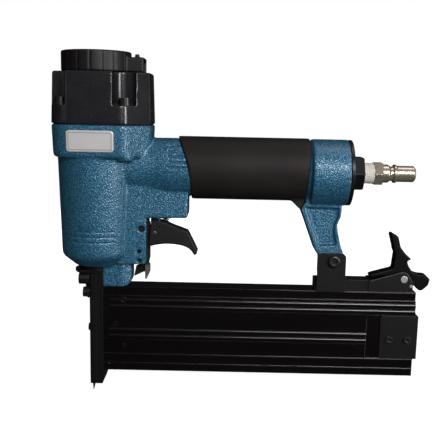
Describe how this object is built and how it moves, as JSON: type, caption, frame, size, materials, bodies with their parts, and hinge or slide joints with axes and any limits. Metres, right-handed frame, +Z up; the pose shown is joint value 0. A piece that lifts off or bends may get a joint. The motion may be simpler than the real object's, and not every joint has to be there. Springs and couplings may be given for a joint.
{
  "type": "pneumatic brad nailer",
  "caption": "Hand-held air brad nailer: upright cylinder and nose, rubber-gripped handle with finger trigger, long flat side-opening magazine and quick air plug.",
  "frame": {"origin": "driver blade's axis at the nose's lower face", "axes": "+Z up the driver axis from the nose to the cap, +X from the nose back along the magazine and handle, -Y the side shown in the picture"},
  "size_m": [0.2576, 0.0566, 0.2364],
  "materials": {
    "housing_paint": "hammered steel-blue enamel on a casting",
    "cap_paint": "satin black on a casting",
    "deflector_plastic": "satin black",
    "grip_rubber": "matt black",
    "badge_metal": "brushed, bare",
    "black_oxide": "black oxide",
    "nose_steel": "black phosphate",
    "trigger_black": "satin black",
    "lock_steel": "black with a bare tab",
    "magazine_anodised": "black anodised",
    "black_sheet": "matt black",
    "end_cap_black": "satin black",
    "nickel": "nickel plate",
    "ptfe": "white tape",
    "bright_steel": "bright",
    "brass": "turned",
    "seal_rubber": "matt",
    "sleeve_aluminium": "hard anodised",
    "valve_plastic": "moulded",
    "blade_steel": "ground",
    "spring_steel": "wound wire"
  },
  "bodies": {
    "tool": {"body_housing": "housing_paint", "cylinder_cap": "cap_paint", "grip_sleeve": "grip_rubber", "badge_plate": "badge_metal", "cap_screws": "black_oxide", "cap_washers": "black_oxide", "deflector_screw": "black_oxide", "deflector_washer": "black_oxide", "nose_bolts": "black_oxide", "nose_washers": "black_oxide", "nose_guide_screws": "black_oxide", "magazine_screws": "black_oxide", "clip_screws": "black_oxide", "mount_screw": "black_oxide", "mount_nut": "black_oxide", "flange_pins": "black_oxide", "safety_pin": "black_oxide", "nose_flange": "black_oxide", "nose_front_plate": "nose_steel", "nose_rear_guide": "nose_steel", "fixed_magazine": "magazine_anodised", "rear_clip": "black_sheet", "mount_bracket": "black_sheet", "end_cap": "end_cap_black", "air_plug": "nickel", "thread_tape": "ptfe", "valve_bushing": "brass", "trigger_pin": "brass", "valve_cap": "brass", "cap_gasket": "seal_rubber", "sleeve_o_ring": "seal_rubber", "valve_o_rings": "seal_rubber", "end_cap_o_ring": "seal_rubber", "bumper": "seal_rubber", "cylinder_sleeve": "sleeve_aluminium", "head_valve_spring": "spring_steel", "valve_spring": "spring_steel", "safety_spring": "spring_steel"},
    "deflector": {"exhaust_deflector": "deflector_plastic"},
    "trigger_lever": {"trigger": "trigger_black"},
    "stem": {"valve_stem": "bright_steel"},
    "trigger_lock": {"trigger_safety": "lock_steel"},
    "piston_assembly": {"piston": "sleeve_aluminium", "piston_o_ring": "seal_rubber", "driver_blade": "blade_steel", "piston_pin": "bright_steel"},
    "head_valve_assembly": {"head_valve": "valve_plastic", "head_valve_seal": "seal_rubber", "head_valve_o_ring": "seal_rubber"},
    "magazine_slide": {"sliding_magazine": "magazine_anodised", "latch_bracket": "black_sheet", "latch_screws": "black_oxide", "latch_pin": "bright_steel", "latch_rivets": "bright_steel", "latch_spring": "spring_steel", "pusher_rod": "bright_steel", "pusher_spring": "spring_steel"},
    "pusher_slide": {"pusher": "blade_steel"},
    "latch": {"latch_lever": "black_sheet"}
  },
  "joints": [
    {"name": "deflector_turn", "type": "hinge", "parent": "tool", "child": "deflector", "pos_m": [0, 0, 0.2215], "axis": [0, 0, 1], "continuous": true},
    {"name": "trigger_pull", "type": "hinge", "parent": "tool", "child": "trigger_lever", "pos_m": [0.0395, 0, 0.1076], "axis": [0, -1, 0], "range_deg": [0, 12], "stiffness_Nm_per_rad": 0.3, "springref_deg": -14.32},
    {"name": "stem_lift", "type": "slide", "parent": "tool", "child": "stem", "axis": [0, 0, 1], "range_m": [0, 0.0014], "deforming": ["valve_spring"]},
    {"name": "lock_swing", "type": "hinge", "parent": "tool", "child": "trigger_lock", "pos_m": [0.0297, 0, 0.0958], "axis": [0, -1, 0], "range_deg": [0, 15], "stiffness_Nm_per_rad": 0.05, "springref_deg": -22.92},
    {"name": "piston_drive", "type": "slide", "parent": "tool", "child": "piston_assembly", "axis": [0, 0, -1], "range_m": [0, 0.064]},
    {"name": "head_valve_lift", "type": "slide", "parent": "tool", "child": "head_valve_assembly", "axis": [0, 0, 1], "range_m": [0, 0.003], "stiffness_N_per_m": 800, "springref_m": -0.004, "deforming": ["head_valve_spring"]},
    {"name": "magazine_open", "type": "slide", "parent": "tool", "child": "magazine_slide", "axis": [1, 0, 0], "range_m": [0, 0.15]},
    {"name": "pusher_travel", "type": "slide", "parent": "magazine_slide", "child": "pusher_slide", "axis": [1, 0, 0], "range_m": [0, 0.15], "stiffness_N_per_m": 20, "springref_m": -0.1, "deforming": ["pusher_spring"]},
    {"name": "latch_turn", "type": "hinge", "parent": "magazine_slide", "child": "latch", "pos_m": [0.2114, 0, 0.0792], "axis": [0, 1, 0], "range_deg": [0, 10], "stiffness_Nm_per_rad": 0.5, "springref_deg": -17.19}
  ],
  "couplings": [
    {"joint": "stem_lift", "follows": "trigger_pull", "m_per_rad": 0.0062}
  ]
}
